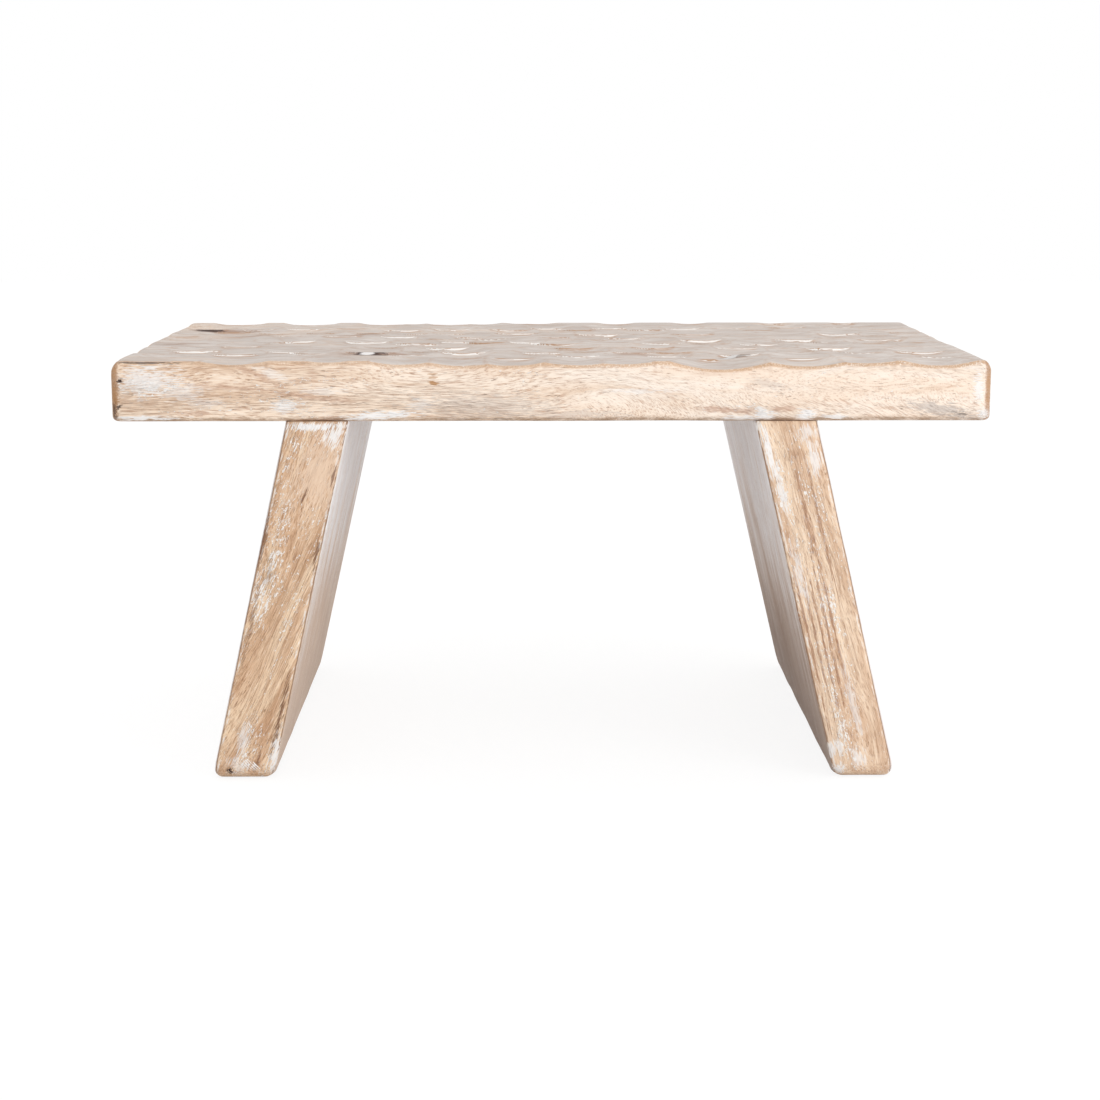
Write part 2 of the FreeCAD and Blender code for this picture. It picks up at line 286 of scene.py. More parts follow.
left_leg_marks = (
    # paler wood near the top
    (((-162, 222, 18, 32, -14, 0.6),), (244, 218, 194)),
    # dark streaks
    (((-196, 36, 2.2, 14, -14, 0.7), (-173, 205, 0.9, 6, -24, 0.9),
      (-152, 220, 1, 6, -14, 0.8), (-199.5, 22, 1, 12, -12, 0.9),
      (-192, 10, 1, 10, -10, 0.9), (-210, 14, 1.4, 8, -20, 0.6),
      (-202, 172, 1.8, 20, -13, 0.7), (-199, 150, 4, 12, -14, 0.35),
      (-165, 165, 1.2, 10, -13, 0.8), (-192, 52, 1.5, 24, -13, 0.85),
      (-195.5, 34, 1.3, 15, -13, 0.85), (-213, 110, 1.6, 30, -13, 0.5)),
     (126, 88, 64)),
    # lime
    (((-165, 254.5, 21, 2.6, 0, 0.95), (-151.5, 247, 6, 7, -10, 0.9),
      (-147.5, 252, 2.8, 8, -10, 0.9), (-197.5, 18, 3.4, 13, -12, 0.9),
      (-196, 6, 6, 4, 0, 0.7), (-219, 32, 4, 12, -12, 0.6),
      (-224, 12, 6, 6, -20, 0.5)) + left_foot_scratches,
     lime_white),
    # dark knot
    (((-229.5, 7.5, 2.2, 3, 0, 1),), dark_knot),
)
right_leg_lines = tuple((171 + 4.8 * n, 108, 0.9, 60, 13.5, 0.7) for n in range(7))
right_leg_marks = (
    # reddish-brown streaks
    (((178, 190, 1.6, 40, 14, 0.6), (188, 185, 1, 45, 14, 0.6),
      (170, 235, 8, 4, 0, 0.3)) + right_leg_lines,
     (160, 112, 82)),
    # lime
    (((152, 232, 3, 22, 14, 0.9), (182, 233, 4, 14, 14, 0.7),
      (161, 205, 2.6, 14, 14, 0.7), (176, 250, 7, 5, 0, 0.6),
      (174, 150, 3, 22, 14, 0.6), (205, 7.5, 5, 4, 10, 0.95),
      (199, 22, 3.5, 5.5, 0, 0.8), (206, 23, 3, 5, 0, 0.7),
      (219, 16, 5.5, 7.5, 14, 0.6), (142, 253.5, 4, 4, 0, 0.9),
      (213, 60, 2.8, 28, 14, 0.5)),
     lime_white),
)
# Where lime flecks crowd on the front faces, in the same terms
seat_fleck_places = ((-215, 271, 50, 7, 0, 0.7), (-285, 283, 22, 13, 0, 0.6),
                     (-120, 262, 30, 4, 0, 0.6), (125, 267, 30, 5, 0, 1.5))
left_fleck_places = ((-196, 165, 10, 60, -14, 1), (-214, 40, 10, 30, -14, 0.7),
                     (-166, 240, 20, 12, 0, 0.6))
right_fleck_places = ((165, 190, 7, 60, 14, 0.8), (192, 120, 10, 50, 14, 0.9),
                      (212, 30, 10, 20, 14, 0.9))
# Marks on top, in plan
seat_top_marks = (
    # reddish stains
    (((-122, -106, 30, 14, 0, 0.7), (-262, 101, 30, 9, 0, 0.7),
      (-150, 60, 20, 7, 0, 0.5), (-235, 50, 22, 6, 0, 0.5),
      (-275, -30, 20, 8, 0, 0.5), (68, -115, 30, 9, 0, 0.4)),
     (166, 130, 108)),
    # dark knots
    (((-130, -106, 13.5, 10.5, 0, 0.9), (-276, 101, 13, 8, 0, 0.9),
      (132, -125, 12, 5, 0, 0.5)), dark_knot),
    # lime in the knots
    (((-132, -108, 5, 4.2, 0, 1), (128, -124, 6, 3, 0, 0.7)),
     lime_white),
)


def tone(red, green, blue):
    """A paint colour, given as it looks on a screen from 0 to 255, as a shader needs it."""
    def linear(level):
        share = level / 255
        return share / 12.92 if share <= 0.04045 else ((share + 0.055) / 1.055) ** 2.4
    return (linear(red), linear(green), linear(blue), 1)


class Wire:
    """A shader socket. A sum written with it adds the nodes that work the sum out."""

    def __init__(self, graph, socket):
        self.graph = graph
        self.socket = socket

    def sum(self, operation, first, second):
        parts = (first, second)
        vector = any(isinstance(part, Wire) and part.socket.type == "VECTOR" for part in parts)
        kind = "ShaderNodeVectorMath" if vector else "ShaderNodeMath"
        return self.graph.node(kind, {"operation": operation}, {0: first, 1: second})

    def __add__(self, other):
        return self.sum("ADD", self, other)

    def __radd__(self, other):
        return self.sum("ADD", other, self)

    def __sub__(self, other):
        return self.sum("SUBTRACT", self, other)

    def __rsub__(self, other):
        return self.sum("SUBTRACT", other, self)

    def __mul__(self, other):
        return self.sum("MULTIPLY", self, other)

    def __truediv__(self, other):
        return self.sum("DIVIDE", self, other)

    def __neg__(self):
        return self.sum("MULTIPLY", self, -1)

    def axis(self, index):
        """One of the three numbers of a vector."""
        return self.graph.node("ShaderNodeSeparateXYZ", {}, {0: self}, output=index)


class Graph:
    """A node tree, with the few patterns that the finishes here are made of."""

    def __init__(self, tree):
        tree.nodes.clear()
        self.tree = tree

    def node(self, kind, settings, sockets, output=0):
        """A node of a kind: its settings first, then its sockets by name or number."""
        made = self.tree.nodes.new(kind)
        for name, value in settings.items():
            setattr(made, name, value)
        for name, value in sockets.items():
            if isinstance(name, int):
                socket = made.inputs[name]
            else:
                socket = next(s for s in made.inputs if s.name == name and s.enabled)
            if isinstance(value, Wire):
                self.tree.links.new(value.socket, socket)
            elif socket.type == "VECTOR" and isinstance(value, (int, float)):
                socket.default_value = (value, value, value)
            else:
                socket.default_value = value
        if output is None:
            return made
        if isinstance(output, int):
            return Wire(self, made.outputs[output])
        return Wire(self, next(s for s in made.outputs if s.name == output and s.enabled))

    def place(self):
        """Where a point lies, in metres."""
        return self.node("ShaderNodeTexCoord", {}, {}, output="Object")

    def facing(self):
        """The way the surface faces."""
        return self.node("ShaderNodeNewGeometry", {}, {}, output="Normal")

    def vector(self, x, y, z):
        return self.node("ShaderNodeCombineXYZ", {}, {0: x, 1: y, 2: z})

    def mesh_value(self, name):
        """A number that the mesh carries at each of its points."""
        return self.node("ShaderNodeAttribute", {"attribute_name": name}, {}, output="Fac")

    def mesh_vector(self, name):
        """A vector that the mesh carries at each of its points."""
        return self.node("ShaderNodeAttribute", {"attribute_name": name}, {}, output="Vector")

    def noise(self, place, sizes, detail=2.0, roughness=0.5, distortion=0.0):
        """Smooth noise about 0.5, whose lumps have these sizes along the three axes."""
        sockets = {"Vector": place / self.vector(*sizes), "Scale": 1.0, "Detail": detail,
                   "Roughness": roughness, "Distortion": distortion}
        return self.node("ShaderNodeTexNoise", {"noise_dimensions": "3D"}, sockets, output="Fac")

    def step(self, value, low, high):
        """0 at low, 1 at high and a smooth change between them."""
        return self.node("ShaderNodeMapRange", {"interpolation_type": "SMOOTHSTEP"},
                         {"Value": value, "From Min": low, "From Max": high})

    def between(self, value, start, end):
        """0 outside and 1 inside a band, which has a soft start and a soft end."""
        return self.step(value, *start) * self.step(value, *end)

    def greater(self, first, second):
        return self.node("ShaderNodeMath", {"operation": "MAXIMUM"}, {0: first, 1: second})

    def lesser(self, first, second):
        return self.node("ShaderNodeMath", {"operation": "MINIMUM"}, {0: first, 1: second})

    def blend(self, share, first, second):
        """The first colour, turning into the second as the share goes from 0 to 1."""
        return self.node("ShaderNodeMix", {"data_type": "RGBA", "clamp_factor": True},
                         {0: share, "A": first, "B": second}, output="Result")

    def patches(self, flat_place, ragged, rows):
        """How much of a point some slanted ovals cover, with edges that noise has torn."""
        covered = None
        for *oval, slant, strength in rows:
            across, up, half_length, half_height = (part / 1000 for part in oval)
            turn = (0, -math.radians(slant), 0)
            near = self.node("ShaderNodeMapping", {"vector_type": "TEXTURE"},
                             {"Vector": flat_place, "Location": (across, 0, up),
                              "Rotation": turn, "Scale": (half_length, 1, half_height)})
            cover = self.step(self.length(near) + ragged, 1.15, 0.55) * strength
            covered = cover if covered is None else self.greater(covered, cover)
        return covered

    def length(self, vector):
        """How long a vector is."""
        return self.node("ShaderNodeVectorMath", {"operation": "LENGTH"}, {0: vector},
                         output="Value")

    def finish(self, colour, roughness, height, depth):
        """Ends the material in a matt surface with a bump of a depth."""
        bump = self.node("ShaderNodeBump", {},
                         {"Strength": 1.0, "Distance": depth, "Height": height})
        surface = self.node("ShaderNodeBsdfPrincipled", {},
                            {"Base Color": colour, "Roughness": roughness, "Normal": bump,
                             "Specular IOR Level": 0.3})
        self.node("ShaderNodeOutputMaterial", {}, {"Surface": surface}, output=None)


def new_material(name):
    """An empty material and its node tree."""
    material = bpy.data.materials.new(name)
    material.use_nodes = True
    return material, Graph(material.node_tree)


def smooth_step(values, low, high):
    """0 below low, 1 above high and a smooth rise between them."""
    share = np.clip((values - low) / (high - low), 0, 1)
    return share * share * (3 - 2 * share)


def lattice_noise(points, size, seed):
    """Smooth noise from -1 to 1 at each point, with lumps about one size across. Its long
    numbers only scramble the place of a cell into a value without a pattern."""
    scaled = points / size + seed * 7.31
    cell = np.floor(scaled).astype(np.int64)
    share = scaled - cell
    share = share * share * (3 - 2 * share)
    total = np.zeros(len(points))
    for corner in np.ndindex(2, 2, 2):
        x, y, z = (cell + corner).T
        mixed = (x * 73856093) ^ (y * 19349663) ^ (z * 83492791) ^ (seed * 2654435)
        mixed = (mixed ^ (mixed >> 13)) * 1274126177 & 0xFFFFFFFF
        mixed = (mixed ^ (mixed >> 16)) & 0xFFFF
        weight = np.prod(np.where(corner, share, 1 - share), axis=1)
        total += weight * (mixed / 32767.5 - 1)
    return total


def mesh_lines(start, end, step, fine_start, fine_end):
    """Places of the mesh lines between two ends, closer together in the margins."""
    fine = step / 2
    stops = [start, start + fine_start, end - fine_end, end]
    steps = [fine, step, fine]
    lines = [np.array([start])]
    for near, far, gap in zip(stops, stops[1:], steps):
        if far - near > fine / 10:
            count = max(1, round((far - near) / gap))
            lines.append(np.linspace(near, far, count + 1)[1:])
    return np.concatenate(lines)


def box_shell(counts):
    """Which points of a lattice lie on its outside, and the quads that join them."""
    outside = np.zeros(counts, bool)
    for axis in range(3):
        side = np.moveaxis(outside, axis, 0)
        side[0] = True
        side[-1] = True
    number = np.full(counts, -1)
    number[outside] = np.arange(outside.sum())
    quads = []
    for axis in range(3):
        for end in (0, -1):
            side = np.moveaxis(number, axis, 0)[end]
            corners = (side[:-1, :-1], side[1:, :-1], side[1:, 1:], side[:-1, 1:])
            quad = np.stack(corners, -1).reshape(-1, 4)
            quads.append(quad[:, ::-1] if (end == 0) != (axis == 1) else quad)
    return np.argwhere(outside), np.concatenate(quads)


def round_corner(first, second, radius):
    """Two distances in from the two faces of an edge, with the edge rounded."""
    first_left = radius - first
    second_left = radius - second
    near = (first_left > 0) & (second_left > 0)
    reach = np.maximum(first_left, second_left)
    length = np.maximum(np.hypot(first_left, second_left), radius * 1e-6)
    share = reach / length
    return (np.where(near, radius - first_left * share, first),
            np.where(near, radius - second_left * share, second))


class Slab:
    """A thick plank of three glued boards, and how its edges are eased.

    Its own axes are the length, the depth (the frame's Y) and the thickness,
    each counted from 0. The start of the length is always an outside end.
    """

    def __init__(self, length, depth, thickness, outline_radius, end_is_open):
        self.length = length
        self.depth = depth
        self.thickness = thickness
        self.outline_radius = outline_radius
        self.end_is_open = end_is_open

    def insets(self, places):
        """How far each place lies in from the ends, from the sides and from the broad faces."""
        along, inwards, up = places.T
        ends = np.minimum(along, self.length - along) if self.end_is_open else along
        return ends, np.minimum(inwards, self.depth - inwards), np.minimum(up, self.thickness - up)

    def eased(self, places, edge_radius):
        """The places with every outside edge and corner rounded."""
        along, inwards, up = places.T
        ends, sides, face = self.insets(places)
        outline = np.minimum(ends, sides)
        new_outline, new_face = round_corner(outline, face, edge_radius)
        new_up = np.where(up > self.thickness / 2, self.thickness - new_face, new_face)

        radius = self.outline_radius
        far_end = self.length - radius if self.end_is_open else self.length
        kept_along = np.clip(along, radius, far_end)
        kept_inwards = np.clip(inwards, radius, self.depth - radius)
        off_along = along - kept_along
        off_inwards = inwards - kept_inwards
        reach = np.maximum(np.hypot(off_along, off_inwards), radius * 1e-6)
        share = np.where(outline < radius, (radius - new_outline) / reach, 1)
        return np.stack([kept_along + off_along * share,
                         kept_inwards + off_inwards * share, new_up], axis=1)

    def edge_values(self, places, shift):
        """What the finish reads: how far a point lies over the edge onto a broad face,
        how near it is to an upright corner, and a shift that sets each board's grain apart."""
        ends, sides, face = self.insets(places)
        far = self.outline_radius * 3
        over = np.clip(np.minimum(ends, sides) - face, -far, far)
        corner = np.clip(np.maximum(ends, sides), 0, far)
        return {"over": over, "corner": corner, "shift": np.tile(shift, (len(places), 1))}


def put_in_scene(name, data):
    """A new object in the scene."""
    made = bpy.data.objects.new(name, data)
    bpy.context.scene.collection.objects.link(made)
    return made


def add_board(node, material, points, quads, values):
    """Makes one board as a mesh that stands for its node, with the values that its finish reads."""
    first, second, third = (points[quads[:, i]] for i in range(3))
    crosses = np.cross(second - first, third - first)
    if np.einsum("ij,ij->", crosses, first - points.mean(0)) < 0:
        quads = quads[:, ::-1]
    mesh = bpy.data.meshes.new(node + "_carved")
    mesh.from_pydata(points.tolist(), [], quads.tolist())
    for name, numbers in values.items():
        kind, field = ("FLOAT_VECTOR", "vector") if numbers.ndim == 2 else ("FLOAT", "value")
        layer = mesh.attributes.new(name, kind, "POINT")
        layer.data.foreach_set(field, numbers.astype(np.float32).ravel())
    mesh.polygons.foreach_set("use_smooth", np.ones(len(mesh.polygons), bool))
    mesh.materials.append(material)
    mesh.update()
    board = put_in_scene(node + "_carved", mesh)
    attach(board, "root")
    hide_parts(node)


class Carving:
    """The gouged top of the seat, worked out at many places at once: the depth of the
    cut, how far each place lies in front of a scoop's near lip (less than 0 inside the
    scoop), and how much white, lime with a painted highlight in it, and how much worn wood that lip
    shows."""

    fields = ("counts", "cut", "slope_x", "slope_y", "front", "lime", "worn")

    def __init__(self, x, y, low, high):
        length = high.x - low.x
        depth = high.y - low.y
        flat = {name: np.zeros(len(x)) for name in self.fields}
        deepest = flat
        others = flat
        weight = np.zeros(len(x))
        total = np.ones(len(x))
        for along, inwards, share, lime, worn in scoops:
            off_x = x - low.x - length * (along / 1000)
            off_y = y - low.y - depth * (inwards / 1000)
            found = self.scoop(off_x, off_y, scoop_depth * share, lime, worn)
            total += np.exp(found["cut"] / ridge_softness)
            wins = found["cut"] > deepest["cut"]
            beaten = {name: np.where(wins, deepest[name], found[name]) for name in self.fields}
            deepest = {name: np.where(wins, found[name], deepest[name]) for name in self.fields}
            nearness = np.exp(beaten["cut"] / lip_softness) * beaten["counts"]
            weight = weight + nearness
            others = {name: others[name] + nearness * beaten[name] for name in self.fields}

        weight = np.maximum(weight, np.finfo(float).tiny)
        others = {name: others[name] / weight for name in self.fields}
        gap = np.maximum(deepest["cut"] - lip_softness * np.log(weight), 0)
        steepness = np.hypot(deepest["slope_x"] - others["slope_x"],
                             deepest["slope_y"] - others["slope_y"])
        ridge_away = gap / np.maximum(steepness, least_steepness)
        wall = np.maximum(np.hypot(deepest["slope_x"], deepest["slope_y"]), least_steepness)
        rim_away = np.where(deepest["counts"] > 0, deepest["cut"] / wall, ridge_away)
        ridge_away = np.minimum(ridge_away, np.where(deepest["front"] > 0, rim_away, ridge_away))
        self.lip_away = np.where(others["front"] >= deepest["front"], ridge_away, -ridge_away)
        self.lime = np.maximum(deepest["lime"], others["lime"])
        self.worn = np.maximum(deepest["worn"], others["worn"])
        self.crest = 1 - smooth_step(ridge_away, 0, crest_width)
        away_from_ends = smooth_step(np.minimum(x - low.x, high.x - x), 0, lip_reach)
        dip = self.lip_dip(x - low.x, y - low.y, length, depth, deepest)
        self.depth = ridge_softness * np.log(total) + lip_rise * away_from_ends * dip

    def lip_dip(self, x, y, length, depth, deepest):
        """How far the top drops in front of the lips, as a share of the most: a steep wall
        under each lip, and a long gentle rise from its foot towards the front."""
        dip = np.zeros(len(x))
        for along, inwards, share, lime, worn in scoops:
            if lime + worn == 0:
                continue
            found = self.scoop(x - length * (along / 1000), y - depth * (inwards / 1000),
                               scoop_depth * share, lime, worn)
            steepness = np.hypot(deepest["slope_x"] - found["slope_x"],
                                 deepest["slope_y"] - found["slope_y"])
            beyond = (deepest["cut"] - found["cut"]) / np.maximum(steepness, least_steepness)
            wall = smooth_step(beyond, 0, lip_width)
            rise = 1 - smooth_step(beyond, lip_width, lip_reach)
            shown = np.maximum(found["lime"], found["worn"] * worn_lip_share)
            dip = np.maximum(dip, shown * wall * rise)
        return dip * (1 - deepest["front"])

    def scoop(self, off_x, off_y, deep, lime, worn):
        """One scoop as seen from many places: how deep it cuts, the slope of its wall, how
        straight in front of it each place lies, and what its lip shows there."""
        radius = math.sqrt(2 * scoop_radius * deep - deep ** 2)
        across = off_x / radius
        back = off_y / radius
        squeeze = np.where(back > 0, 1 / scoop_far_stretch, 1)
        away = np.maximum(np.hypot(across, back * squeeze), 1e-4)
        front = smooth_step(-back / away, *lip_front_shares)
        return {"counts": 1, "cut": deep * (1 - away ** 2), "slope_x": -2 * deep * across / radius,
                "slope_y": -2 * deep * back * squeeze ** 2 / radius, "front": front,
                "lime": front * lime, "worn": front * worn}


def near_weight(heights, low, reach):
    """1 at a height and above, falling to 0 one reach below it."""
    return np.clip((heights - low) / reach + 1, 0, 1)


def slab_boxes(nodes):
    """The box of each board of a slab, and the low and high corners of the whole slab."""
    boxes = [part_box(node) for node in nodes]
    low = Vector(map(min, *(box[0] for box in boxes)))
    high = Vector(map(max, *(box[1] for box in boxes)))
    return boxes, low, high


def board_shells(boxes, low, along, ups, step, margin):
    """The mesh places and quads of each board of a slab, in the slab's own axes. Only the
    two outside boards have the margin of the slab's eased edge."""
    for number, (near, far) in enumerate(boxes):
        start_margin = margin if number == 0 else 0
        end_margin = margin if number == len(boxes) - 1 else 0
        inwards = mesh_lines(near.y - low.y, far.y - low.y, step, start_margin, end_margin)
        indices, quads = box_shell((len(along), len(inwards), len(ups)))
        first, second, third = indices.T
        yield number, np.stack([along[first], inwards[second], ups[third]], axis=1), quads


def seat_boards(material):
    """The three boards of the seat, sharing one gouged surface."""
    boxes, low, high = slab_boxes(seat_nodes)
    slab = Slab(high.x - low.x, high.y - low.y, high.z - low.z, seat_corner_radius, True)
    across = mesh_lines(0, slab.length, seat_mesh_step * 2, seat_corner_radius,
                        seat_corner_radius)
    ups = mesh_lines(0, slab.thickness, seat_mesh_step * 3, seat_bottom_edge_radius * 1.5,
                     seat_top_edge_radius * 1.5)
    shells = board_shells(boxes, low, across, ups, seat_mesh_step, seat_corner_radius)
    for number, places, quads in shells:
        ends, sides = slab.insets(places)[:2]
        top_radius = seat_top_edge_radius + (seat_end_edge_radius - seat_top_edge_radius) * (
            smooth_step(sides - ends, -seat_corner_radius, seat_corner_radius))
        upper = places[:, 2] > slab.thickness / 2
        radius = np.where(upper, top_radius, seat_bottom_edge_radius)
        wear = lattice_noise(places, edge_wear_size, seat_wear_seed)
        radius = radius * (1 + edge_wear_share * wear)
        points = slab.eased(places, radius) + np.array(low)
        carving = Carving(points[:, 0], points[:, 1], low, high)
        ripple = 1 + lattice_noise(points * np.array([1, 1, 0]), ripple_size, ripple_seed)
        depth = carving.depth + ripple_depth / 2 * ripple * smooth_step(
            carving.depth, 0, scoop_depth / 4)
        points[:, 2] -= depth * near_weight(points[:, 2], high.z, carving_reach)
        on_top = near_weight(points[:, 2], high.z - scoop_depth * 2, seat_top_edge_radius)
        values = slab.edge_values(places, [number * part for part in seat_board_shift])
        values["lip_away"] = carving.lip_away
        values["lime"] = carving.lime * on_top
        values["worn"] = carving.worn * on_top
        values["crest"] = carving.crest * on_top
        add_board(seat_nodes[number], material, points, quads, values)


def leg_boards(nodes, side, splay_share, material):
    """The three boards of one splayed leg. The side is -1 for left and 1 for right."""
    boxes, low, high = slab_boxes(nodes)
    height = high.z - low.z
    thickness = high.x - low.x - splay_share * height
    foot_outer_x = max(abs(low.x), abs(high.x))
    slab = Slab(height, high.y - low.y, thickness, foot_corner_radius, False)
    heights = mesh_lines(0, height, leg_mesh_step, foot_corner_radius, 0)
    ups = mesh_lines(0, thickness, leg_mesh_step, foot_edge_radius, foot_edge_radius)
    shells = board_shells(boxes, low, heights, ups, leg_mesh_step, foot_corner_radius)
    for number, places, quads in shells:
        foot = np.clip(1 - places[:, 0] / foot_corner_radius, 0, 1)
        radius = leg_edge_radius + (foot_edge_radius - leg_edge_radius) * foot
        wear = lattice_noise(places, edge_wear_size, leg_wear_seed + side)
        radius = radius * (1 + edge_wear_share * wear)
        eased = slab.eased(places, radius)
        x = side * (foot_outer_x - splay_share * eased[:, 0] - thickness + eased[:, 2])
        points = np.stack([x, eased[:, 1] + low.y, eased[:, 0] + low.z], axis=1)
        order = number + 3 if side < 0 else number + 6
        values = slab.edge_values(places, [order * part for part in leg_board_shift])
        add_board(nodes[number], material, points, quads, values)


def swooping(g, grain):
    """The grain's own space, bent so that the fibres rise and fall along a board."""
    slow = g.noise(grain, slow_bend_size, detail=1) - 0.5
    quick = g.noise(grain, quick_bend_size, detail=1) - 0.5
    bend = slow * slow_bend + quick * quick_bend
    return grain + g.vector(0, bend * 0.6, bend)


def leaning(g, grain, slope):
    """The grain's own space with the fibres at a slope to the board."""
    return grain + g.vector(0, 0, grain.axis(0) * slope)


def bare_wood(g, grain, pale, leaning_share, lean, rough):
    """Colour and height of bare mango wood. Its grain runs along the first axis, and it
    turns from tan to cream as pale goes from 0 to 1. Some fibres lean across the grain,
    and rough wood has darker fibres and long brown streaks."""
    grain = swooping(g, grain)
    broad = g.noise(grain, broad_size, detail=3, distortion=0.4)
    streak = g.noise(grain, streak_size, detail=3, roughness=0.6)
    long_streak = g.noise(grain, long_streak_size, detail=4, roughness=0.65)
    line = g.noise(grain, line_size, detail=2, roughness=0.6)
    straight = g.noise(grain, fibre_size, detail=2, roughness=0.65)
    slanted = g.noise(leaning(g, grain, lean), slanted_fibre_size, detail=2, roughness=0.65)
    fibre = straight + (slanted - straight) * leaning_share
    hair = g.noise(grain, pore_size, detail=1)
    tan = g.blend(g.step(broad, 0.38, 0.62), tone(235, 208, 183), tone(250, 229, 208))
    cream = g.blend(g.step(broad, 0.38, 0.62), tone(250, 231, 213), tone(255, 243, 231))
    golden = g.blend(g.step(broad, 0.42, 0.6), tone(212, 168, 128), tone(240, 206, 168))
    colour = g.blend(rough * 0.7, g.blend(pale, tan, cream), golden)
    deep = 1 - pale * 0.4
    colour = g.blend(g.step(long_streak, 0.5, 0.66) * rough * 0.5, colour, tone(186, 140, 104))
    colour = g.blend(g.step(line, 0.56, 0.66) * rough * 0.5, colour, tone(160, 110, 80))
    colour = g.blend(g.step(streak, 0.52, 0.7) * deep * 0.35, colour, tone(206, 164, 130))
    dark_fibre = g.blend(rough, tone(196, 150, 120), tone(168, 124, 90))
    colour = g.blend(g.step(fibre, 0.5, 0.66) * deep * 0.75, colour, dark_fibre)
    colour = g.blend(g.step(fibre, 0.44, 0.3) * 0.6, colour, tone(255, 244, 231))
    pores = g.step(hair, 0.68, 0.76)
    colour = g.blend(pores * (0.2 + deep * 0.45), colour, tone(140, 98, 72))
    height = streak * 0.3 - g.step(fibre, 0.45, 0.7) * 0.5 - pores * 0.5
    return colour, height


def end_grain(g, place, wood):
    """The sawn ends of the boards: growth rings round the heart of the tree, and fine pores.
    The first axis of the place runs along the trunk, and each board comes from its own part
    of the tree."""
    shift = g.mesh_vector("shift")
    heart = g.vector(0, shift.axis(0) * ring_spread, shift.axis(1) * ring_spread)
    from_heart = place * g.vector(0, 1, 1) + heart + g.vector(0, 0, heart_drop)
    wander = g.noise(place, ring_wander_size, detail=2) - 0.5
    distance = g.length(from_heart) + wander * ring_wander
    ring = g.noise(g.vector(distance, 0, 0), ring_size, detail=2)
    pore = g.noise(place, end_pore_size, detail=2)
    colour = g.blend(g.step(ring, 0.42, 0.6) * 0.55, wood, tone(206, 168, 136))
    return g.blend(g.step(pore, 0.56, 0.68) * 0.45, colour, tone(164, 122, 92))


def with_flecks(g, grain, wood, height, amount):
    """Lime that the scraper left in the grain: short white flecks, crowded in places."""
    where = g.noise(grain, crowd_size, detail=3, roughness=0.6) - 0.5
    fleck = g.noise(grain, fleck_size, detail=2, roughness=0.7, distortion=0.8)
    reach = fleck + where * 0.6 + amount * 0.1
    cover = g.step(reach, 0.68, 0.73)
    return g.blend(cover * 0.85, wood, tone(252, 249, 246)), height + cover * 0.3


def limed(g, grain, wood, height, washes, streak_width, thin_places):
    """The wood under an even, streaky lime wash, which thin_places wears off."""
    grain = swooping(g, grain)
    mottle = g.noise(grain, mottle_size, detail=4, roughness=0.6)
    sizes = (wash_streak_length, streak_width, wash_streak_height)
    streak = g.noise(grain, sizes, detail=4, roughness=0.6)
    line = g.noise(grain, wash_line_size, detail=2)
    darker, lighter, stain = washes
    wash = g.blend(g.step(mottle, 0.3, 0.7), darker, lighter)
    wash = g.blend(g.step(streak, 0.44, 0.66) * 0.5, wash, stain)
    wash = g.blend(g.step(line, 0.52, 0.75) * 0.3, wash, tone(176, 158, 147))
    rubbed = g.step(streak * 0.6 + thin_places, 0.55, 1.0)
    colour = g.blend(rubbed * 0.85, wash, wood)
    return colour, height * 0.25 + streak * 0.3


def marked(g, colour, grain, tear, marks, on_top=False):
    """The front face's own marks, or those of the top, each ragged along the grain."""
    place = g.place()
    towards = g.facing().axis(2) if on_top else -g.facing().axis(1)
    shown = g.step(towards, 0.3, 0.6)
    flat_place = g.vector(place.axis(0), 0, place.axis(1 if on_top else 2))
    torn = g.noise(grain, torn_size, detail=2) - 0.5
    ragged = tear * 1.5 + torn * (1 if on_top else 4)
    for rows, paint in marks:
        cover = g.patches(flat_place, ragged, rows)
        colour = g.blend(cover * shown, colour, tone(*paint))
    return colour


def lips(g, colour, grain, tear):
    """The near lip of each scoop: bare wood on the ridge, white under it that is lime with a
    painted highlight in it, and a stain on the scoop's floor behind it."""
    away = g.mesh_value("lip_away") + tear * lip_tear
    lime = g.mesh_value("lime") + tear * 0.3
    worn = g.mesh_value("worn") + tear * 0.4
    brown = tone(190, 151, 122)
    streak = g.noise(grain, lip_streak_size, detail=3, roughness=0.6)
    stain = g.step(worn, 0.1, 0.5) * g.step(away, *lip_stain_start)
    stain = stain * g.step(away, *lip_stain_end) * g.step(streak, 0.38, 0.58)
    colour = g.blend(stain * 0.6, colour, brown)
    ridge = g.step(away, *lip_ridge_start) * g.step(away - worn * worn_ridge_width, *lip_ridge_end)
    crest = g.mesh_value("crest") * g.step(tear, -0.2, 0.15) * 0.45
    colour = g.blend(g.greater(ridge * g.step(worn, 0.1, 0.3) * 0.9, crest), colour, brown)
    # Lime white under each near lip, with a painted highlight in it, on the side of the scoop that
    # faces the front
    lip_white_lime_and_highlight = g.step(away - worn * worn_lime_and_highlight_shift, *lip_lime_and_highlight_start)
    lip_white_lime_and_highlight = lip_white_lime_and_highlight * g.step(away - lime * lip_lime_and_highlight_width, *lip_lime_and_highlight_end)
    broken = 0.6 + g.step(streak, 0.4, 0.5) * 0.4
    return g.blend(lip_white_lime_and_highlight * g.step(lime, 0.2, 0.45) * broken, colour, tone(254, 250, 245))


